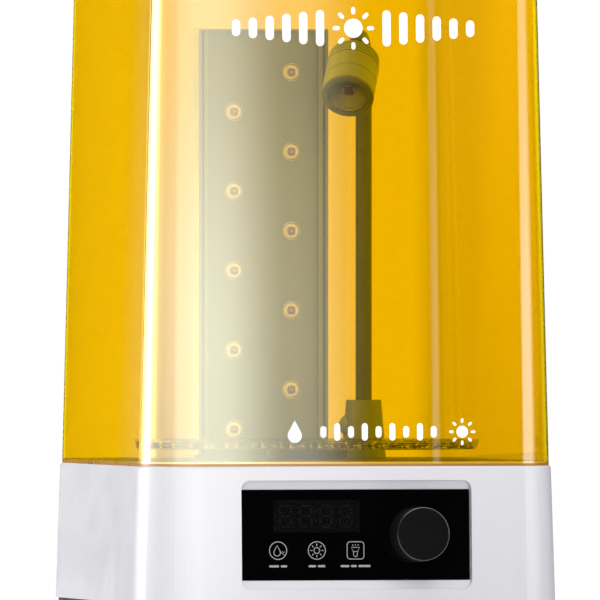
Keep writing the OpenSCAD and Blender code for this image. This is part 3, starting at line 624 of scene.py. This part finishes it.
def make_deck_highlight_band():
    """A thin pale band round the deck's edge, which the hood's rim sits round: a painted highlight that
    makes the edge show bright through the hood.
    """
    low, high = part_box("deck_plate")
    width, depth = (high - low).xy / MM
    corner = HOOD_CORNER - (HOOD_W - width) / 2
    foot, top = low.z / MM + BAND_GAP, high.z / MM
    profile = ((BAND_GAP, foot), (BAND_THICKNESS, foot), (BAND_THICKNESS, top), (BAND_GAP, top))
    rings = []
    for out, z in profile:
        outline = rounded_outline(width + 2 * out, depth + 2 * out, corner + out, CORNER_STEPS)
        rings.append([P(x, y, z) for x, y in outline])
    vertices, faces = bridge(rings, closed_profile=True)
    band = piece("deck_highlight_band", vertices, faces, "shell", "base")


def hood_front(x, z, lift):
    """A point on the outside of the hood's front wall."""
    return P(x, -(HOOD_D / 2 - (z - HOOD_Z) * HOOD_SLOPE) - lift, z)


# ---- flat marks, drawn as thin plates ----

MARK_LIFT = 0.02
MARK_THICKNESS = 0.04


def plate_from_outlines(name, outlines, surface, material, body):
    """Joins flat outlines into one thin plate. surface(x, y, lift) puts a drawing point on its face."""
    vertices, faces = [], []
    for outline in outlines:
        n, start = len(outline), len(vertices)
        vertices += [surface(x, y, MARK_LIFT + MARK_THICKNESS) for x, y in outline]
        vertices += [surface(x, y, MARK_LIFT) for x, y in outline]
        faces.append(tuple(range(start, start + n)))
        faces.append(tuple(reversed(range(start + n, start + 2 * n))))
        faces += [(start + (i + 1) % n, start + i, start + n + i, start + n + (i + 1) % n) for i in range(n)]
    made = piece(name, vertices, faces, material, body)
    return made


def pill(x, y, width, height):
    """Outline of a bar with round ends, counter-clockwise."""
    r = min(width, height) / 2
    return [(x + px, y + py) for px, py in rounded_outline(width, height, r * 0.999, 6)]


def turned(outline, angle, cx, cy):
    """An outline turned about a point."""
    c, s = math.cos(angle), math.sin(angle)
    return [(cx + (x - cx) * c - (y - cy) * s, cy + (x - cx) * s + (y - cy) * c) for x, y in outline]


def disc(x, y, r, n=40):
    """Outline of a disc, counter-clockwise."""
    return [(x + r * math.cos(2 * math.pi * i / n), y + r * math.sin(2 * math.pi * i / n)) for i in range(n)]


def stroke(points, width, closed=False):
    """Quads that follow a line of points at a given width, mitred at the joints."""
    n = len(points)
    sides = []
    for i in range(n):
        before = points[(i - 1) % n] if closed or i else points[i]
        after = points[(i + 1) % n] if closed or i < n - 1 else points[i]
        d = Vector((after[0] - before[0], after[1] - before[1])).normalized()
        normal = Vector((-d.y, d.x)) * width / 2
        p = Vector(points[i])
        sides.append((p + normal, p - normal))
    quads = []
    for i in range(n if closed else n - 1):
        (a, b), (c, d) = sides[i], sides[(i + 1) % n]
        quads.append([tuple(b), tuple(d), tuple(c), tuple(a)])
    return quads


def droplet(x, y, r):
    """Outline of a drop with its tip up."""
    arc = [(x + r * math.cos(math.radians(a)), y + r * math.sin(math.radians(a)))
           for a in range(-210, 31, 12)]
    return arc + [(x, y + 2.1 * r)]


def sun(x, y, r, ray, width):
    """A disc with eight rays."""
    rays = [turned(pill(x + r * 1.45 + ray / 2, y, ray, width), math.radians(45 * i), x, y)
            for i in range(8)]
    return [disc(x, y, r)] + rays


PRINT_UPPER_Z = 303.5
PRINT_LOWER_Z = 97.5
PRINT_LOWER_X = 12


def make_hood_print():
    """Plain white marks on the hood's front: bars with a sun above, and a drop, bars and a sun below."""
    upper = sun(0, PRINT_UPPER_Z, 4.9, 3.8, 2.1)
    for side in (-1, 1):
        upper += [pill(side * (17.5 + 8.8 * i), PRINT_UPPER_Z, 4.4, 18.5 - 2.0 * i) for i in range(6)]
    plate_from_outlines("hood_mark_upper", upper, hood_front, "print", "hood")
    lower = [droplet(PRINT_LOWER_X - 44, PRINT_LOWER_Z - 1.8, 3.7)]
    lower += sun(PRINT_LOWER_X + 44, PRINT_LOWER_Z, 3.1, 2.4, 1.4)
    lower += [pill(PRINT_LOWER_X - 29 + 7.25 * i, PRINT_LOWER_Z, 3.2, 9 if i % 2 else 6) for i in range(9)]
    plate_from_outlines("hood_mark_lower", lower, hood_front, "print", "hood")


# ---- control panel ----

PANEL_ICON_X = (-40.7, -20.4, -0.1)
PANEL_ICON_Y = -7.9
PANEL_LABEL_Y = -15.9
PANEL_TILT = math.radians(1.9)
DASH_GAP = 0.9
LINE = 0.42
FINE_LINE = 0.36


def along_axis(name):
    """Places a shape drawn about +Z on a joint's axis, pointing away from the machine."""
    axis = Vector(joint(name)["axis"])
    axis = -axis if axis.y > 0 else axis
    turn = axis.to_track_quat("Z", "Y").to_matrix().to_4x4()
    return Matrix.Translation(Vector(joint(name)["pos_m"])) @ turn


def front_surface():
    """A function that puts (x, y, lift) in millimetres on the front of the dark panel."""
    low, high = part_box("panel_glass")
    up = Vector((0, math.sin(PANEL_TILT), math.cos(PANEL_TILT)))
    out = Vector((0, -math.cos(PANEL_TILT), math.sin(PANEL_TILT)))
    middle = (low + high) / 2
    thickness = (high.y - low.y) - (high.z - low.z) * math.tan(PANEL_TILT)
    face = middle + out * thickness / 2
    return lambda x, y, lift: face + Vector((x * MM, 0, 0)) + up * y * MM + out * lift * MM


def ring_outline(x, y, r):
    """A circle drawn as a line."""
    return stroke(disc(x, y, r), LINE, closed=True)


def wash_icon(x, y):
    """A drop with a small swirl in a circle."""
    drop = droplet(x - 0.5, y - 1.0, 1.75)
    arrow = [stroke([(x + 3.4, y - 0.6), (x + 2.2, y - 1.5), (x + 3.4, y - 2.4)], 0.3),
             stroke([(x + 2.5, y - 0.4), (x + 1.5, y - 1.2)], 0.3)]
    swirl = [quad for part in arrow for quad in part]
    return ring_outline(x, y, 4.5) + stroke(drop, 0.4, closed=True) + swirl


def cure_icon(x, y):
    """A sun in a circle."""
    rays = [turned(pill(x + 2.9, y, 1.3, 0.38), math.radians(45 * i), x, y) for i in range(8)]
    return ring_outline(x, y, 4.5) + stroke(disc(x, y, 1.5), 0.4, closed=True) + rays


def torch_icon(x, y):
    """A hand lamp in a square."""
    frame_line = stroke(rounded_at(x, y, 8.8, 8.8, 1.6), LINE, closed=True)
    head = [(x - 2.2, y + 1.5), (x + 2.2, y + 1.5), (x + 1.2, y - 0.6), (x - 1.2, y - 0.6)]
    grip = [(x - 1.0, y - 0.6), (x - 1.0, y - 2.6), (x - 0.5, y - 3.1), (x + 0.5, y - 3.1),
            (x + 1.0, y - 2.6), (x + 1.0, y - 0.6)]
    rays = [pill(x + dx, y + 2.7, 0.4, 0.8) for dx in (-1.4, 0, 1.4)]
    return frame_line + stroke(head, FINE_LINE, closed=True) + stroke(grip, FINE_LINE) + rays


def rounded_at(x, y, width, height, radius):
    """Outline of a rounded rectangle about a point."""
    return [(x + px, y + py) for px, py in rounded_outline(width, height, radius, 5)]


def make_panel_marks():
    """Line icons for the three modes, each over a plain bar where a printed name would be."""
    surface = front_surface()
    outlines = []
    for x, icon in zip(PANEL_ICON_X, (wash_icon, cure_icon, torch_icon)):
        outlines += icon(x, PANEL_ICON_Y)
    for x, dashes in zip(PANEL_ICON_X, ((5.2, 3.4), (4.0, 4.0), (4.6, 3.0, 6.4))):
        total = sum(dashes) + DASH_GAP * (len(dashes) - 1)
        left = x - total / 2
        for width in dashes:
            outlines.append(pill(left + width / 2, PANEL_LABEL_Y, width, 1.1))
            left += width + DASH_GAP
    plate_from_outlines("panel_marks", outlines, surface, "mark", "base")


def make_knob():
    """The selector knob: a plain turned cap round a dished face, its fine edge in a lighter metal finish
    than the black cap as a painted highlight.
    """
    place = along_axis("knob_turn")
    inverse = place.inverted()
    low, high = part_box("selector_knob")
    corners = [inverse @ Vector((x, y, z))
               for x in (low.x, high.x) for y in (low.y, high.y) for z in (low.z, high.z)]
    radius = (high.x - low.x) / 2 / MM
    slant = 2 * radius * math.sin(PANEL_TILT)
    front = max(c.z for c in corners) / MM - slant
    back = min(c.z for c in corners) / MM + slant
    rim = 0.35
    parts = [
        ("knob_side", [(radius - 0.15, back), (radius, back + 0.4), (radius - 0.3, front - rim)],
         "knob", False),
        ("knob_edge", [(radius - 0.3, front - rim), (radius - 0.42, front - 0.12), (radius - 0.7, front)],
         "edge", False),
        ("knob_face", [(radius - 0.7, front), (radius - 1.1, front - 0.12), (radius * 0.5, front - 0.2),
                       (0.4, front - 0.22)], "knob_face", True),
    ]
    for name, profile, material, closed in parts:
        vertices, faces = bridge(lathe(profile, 96, place), end_cap=closed, start_cap=name == "knob_side")
        made = piece(name, vertices, faces, material, "knob")
        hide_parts("selector_knob")


# ---- diode column ----

LED_ROWS = 5
CHIP = 3.6
DIE = 1.1
GLINT_RING_RADIUS = 3.4
GLINT_RING_WIDTH = 2.2


def led_places():
    """Centres of the diodes: two staggered columns, read from the box round all the chips."""
    low, high = (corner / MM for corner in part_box("led_chips"))
    pitch = (high.z - low.z - CHIP) / (LED_ROWS - 0.5)
    left, bottom = low.x + CHIP / 2, low.z + CHIP / 2
    return [(side * -left, bottom + pitch * (i + (0.5 if side > 0 else 0)))
            for side in (-1, 1) for i in range(LED_ROWS)]


def facing_front(y):
    """A function that puts (x, z, lift) in millimetres in front of an upright face at y."""
    return lambda x, z, lift: Vector((x * MM, y - lift * MM, z * MM))


def make_led_details():
    """A pale die on each chip, and round it under the lens a pale ring that glows a little: a painted
    highlight for the lens's shine.
    """
    dies, lens_glint_rings = [], []
    for x, z in led_places():
        dies.append(rounded_at(x, z, DIE, DIE, 0.15))
        # The ring under each lens is a painted highlight for the lens's shine.
        lens_glint_rings += stroke(disc(x, z, GLINT_RING_RADIUS), GLINT_RING_WIDTH, closed=True)
    on_chip, on_plate = (facing_front(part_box(name)[0].y) for name in ("led_chips", "led_plate"))
    plate_from_outlines("led_dies", dies, on_chip, "die", "base")
    plate_from_outlines("led_painted_lens_glints", lens_glint_rings, on_plate, "lens_glint_ring", "base")


# ---- gooseneck ----

NECK_RADIUS = 4.25
NECK_IN_SOCKET = 18 * MM
HOOK_RADIUS = 14 * MM
HOOK_DOWN = math.radians(40.8)
HOOK_STRAIGHT = 4 * MM
HOOK_STEPS = 40
HOOK_INTO_LAMP = 1.2 * MM
SLEEVE_STEPS = 48
CORES = (["gooseneck_lower", "gooseneck_middle"], ["gooseneck_upper"], ["gooseneck_hook"])


def sweep(points, steps=32):
    """Rings of a tube along points, each turned as little as possible from the last."""
    rings, side = [], None
    for i, p in enumerate(points):
        ahead = (points[min(i + 1, len(points) - 1)] - points[max(i - 1, 0)]).normalized()
        if side is None:
            side = ahead.orthogonal().normalized()
        side = (side - ahead * side.dot(ahead)).normalized()
        other = ahead.cross(side)
        rings.append([p + side * x * MM + other * y * MM for x, y in disc(0, 0, NECK_RADIUS, steps)])
    return rings


def make_gooseneck():
    """Sleeves over the jointed core. Each crosses one joint."""
    bends = [Vector(joint(n)["pos_m"]) for n in ("arm_bend_low", "arm_bend_middle", "arm_bend_high")]
    tilt = Vector(joint("lamp_tilt")["pos_m"])
    base = bends[0]
    heading = tilt - base
    heading.z = 0
    heading.normalize()
    aim = heading * math.cos(HOOK_DOWN) - Vector((0, 0, math.sin(HOOK_DOWN)))
    arc_end = tilt - aim * HOOK_STRAIGHT
    hook_z = arc_end.z - HOOK_RADIUS * math.cos(HOOK_DOWN)
    centre = Vector((base.x, base.y, hook_z)) + heading * HOOK_RADIUS
    socket_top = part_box("arm_socket")[1].z
    between = [(lower.z + upper.z) / 2 for lower, upper in zip(bends, bends[1:])]
    cuts = [socket_top - NECK_IN_SOCKET, *between, hook_z]
    for i in range(3):
        low, high = cuts[i], cuts[i + 1]
        levels = [low + (high - low) * k / SLEEVE_STEPS for k in range(SLEEVE_STEPS + 1)]
        line = [Vector((base.x, base.y, z)) for z in levels]
        if i == 2:
            angles = [(math.radians(90) + HOOK_DOWN) * k / HOOK_STEPS for k in range(1, HOOK_STEPS + 1)]
            arc = [centre - heading * HOOK_RADIUS * math.cos(a) + Vector((0, 0, HOOK_RADIUS * math.sin(a)))
                   for a in angles]
            line += arc + [arc_end + aim * HOOK_INTO_LAMP]
        vertices, faces = bridge(sweep(line), start_cap=i == 0, end_cap=i == 2)
        sleeve = piece(f"gooseneck_sleeve_{i + 1}", vertices, faces, "sleeve")
        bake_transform(sleeve)
        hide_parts(*CORES[i])


make_camera()
make_stage()
dress_nodes()
hood = make_hood()
shine_only_on(reflector_card("front_card", FRONT_CARD_STOPS, FRONT_CARD_TOP_LEVEL, FRONT_CARD_TINT),
              [hood, bpy.data.objects["base_shell"]])
make_deck_highlight_band()
make_hood_print()
make_gooseneck()
make_panel_marks()
make_knob()
make_led_details()
